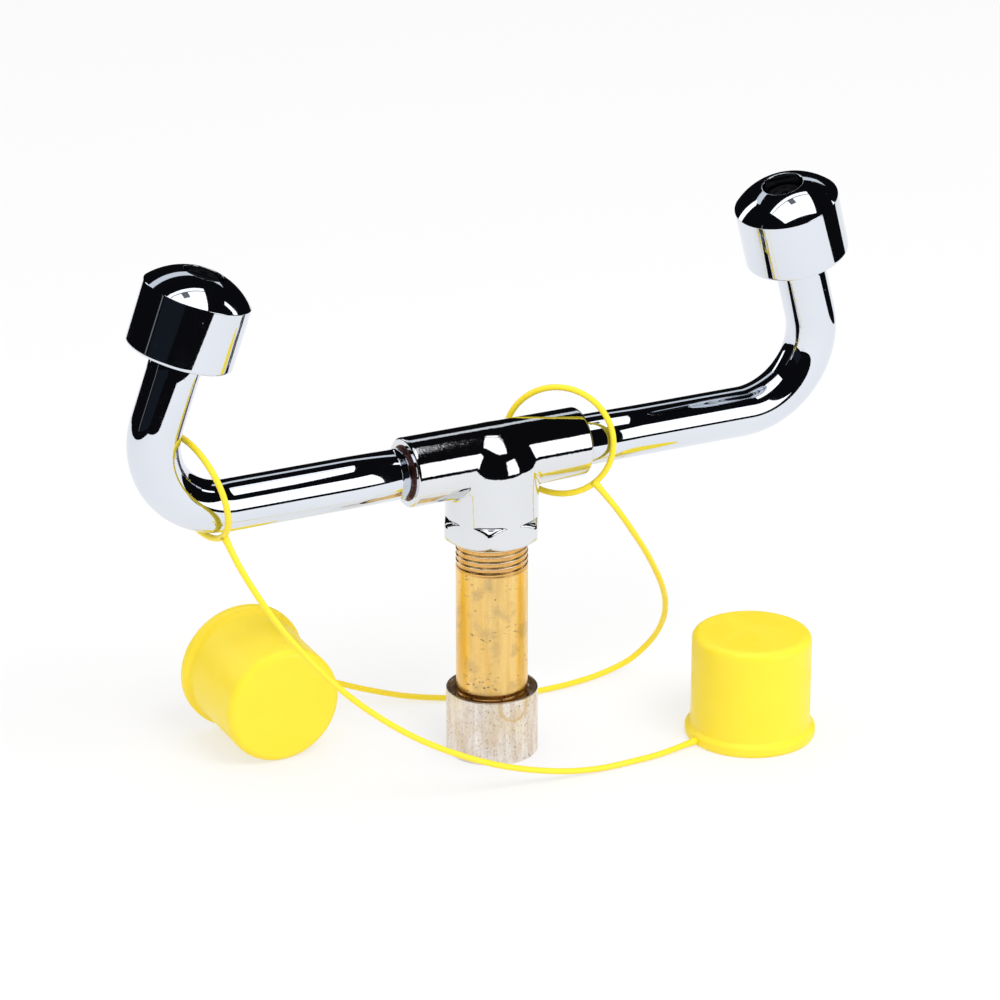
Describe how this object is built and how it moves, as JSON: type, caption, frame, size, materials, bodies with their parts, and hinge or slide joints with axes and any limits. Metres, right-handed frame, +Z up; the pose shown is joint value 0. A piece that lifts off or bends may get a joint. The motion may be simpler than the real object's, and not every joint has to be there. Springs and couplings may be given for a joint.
{
  "type": "twin-head eyewash assembly",
  "caption": "Chrome tee on a brass nipple feeding two bent arms with round spray heads, and two tethered yellow dust caps.",
  "frame": {"origin": "on the surface the assembly stands on, under the middle of the plumbing's plan box", "axes": "+X along the right arm, +Y away from the person rinsing, +Z up"},
  "size_m": [0.2276, 0.0982, 0.1657],
  "materials": {
    "chrome": "bright plated, mirror smooth",
    "cast_chrome": "bright plate over a lightly textured casting",
    "brass": "drawn and lightly tarnished",
    "nickel": "dull plate with fine lengthwise marks and spots",
    "braze": "dark oxidised braze fillet",
    "steel": "stainless sheet",
    "rubber": "matt black",
    "acetal": "moulded, off-white",
    "black_plastic": "moulded, near black",
    "vinyl": "soft moulded vinyl with a low gloss"
  },
  "bodies": {
    "plumbing": {"inlet_coupling": "nickel", "supply_nipple": "brass", "tee_body": "cast_chrome", "left_arm_tube": "chrome", "left_braze_ring": "braze", "left_head_adapter": "chrome", "right_arm_tube": "chrome", "right_braze_ring": "braze", "right_head_adapter": "chrome"},
    "left_gasket": {"left_head_gasket": "rubber"},
    "left_head": {"left_head_shell": "chrome", "left_retaining_ring": "steel", "left_flow_regulator": "acetal", "left_regulator_seal": "rubber", "left_strainer_screen": "steel", "left_spray_nozzle": "black_plastic"},
    "right_gasket": {"right_head_gasket": "rubber"},
    "right_head": {"right_head_shell": "chrome", "right_retaining_ring": "steel", "right_flow_regulator": "acetal", "right_regulator_seal": "rubber", "right_strainer_screen": "steel", "right_spray_nozzle": "black_plastic"},
    "front_tether": {"front_loop": "vinyl", "front_strap": "vinyl"},
    "front_dust_cap": {"front_cap": "vinyl"},
    "rear_tether": {"rear_loop": "vinyl", "rear_strap": "vinyl"},
    "rear_dust_cap": {"rear_cap": "vinyl"}
  },
  "joints": [
    {"name": "left_head_rise", "type": "slide", "parent": "plumbing", "child": "left_gasket", "axis": [0.3007, -0.098, 0.9487], "range_m": [0, 0.00508]},
    {"name": "left_head_unscrew", "type": "hinge", "parent": "left_gasket", "child": "left_head", "pos_m": [-0.0992, -0.00045, 0.14077], "axis": [0.3007, -0.098, 0.9487], "range_deg": [0, 1440]},
    {"name": "right_head_rise", "type": "slide", "parent": "plumbing", "child": "right_gasket", "axis": [-0.3007, -0.098, 0.9487], "range_m": [0, 0.00508]},
    {"name": "right_head_unscrew", "type": "hinge", "parent": "right_gasket", "child": "right_head", "pos_m": [0.0992, -0.00045, 0.14077], "axis": [-0.3007, -0.098, 0.9487], "range_deg": [0, 1440]},
    {"name": "front_loop_slide", "type": "slide", "parent": "plumbing", "child": "front_tether", "axis": [1, 0, 0], "range_m": [0, 0.045]},
    {"name": "front_cap_lift", "type": "slide", "parent": "front_tether", "child": "front_dust_cap", "axis": [0, 0, 1], "range_m": [0, 0.04]},
    {"name": "rear_loop_slide", "type": "slide", "parent": "plumbing", "child": "rear_tether", "axis": [1, 0, 0], "range_m": [0, 0.035]},
    {"name": "rear_cap_lift", "type": "slide", "parent": "rear_tether", "child": "rear_dust_cap", "axis": [0, 0, 1], "range_m": [0, 0.04]}
  ],
  "couplings": [
    {"joint": "left_head_rise", "follows": "left_head_unscrew", "m_per_rad": 0.00020213},
    {"joint": "right_head_rise", "follows": "right_head_unscrew", "m_per_rad": 0.00020213}
  ]
}
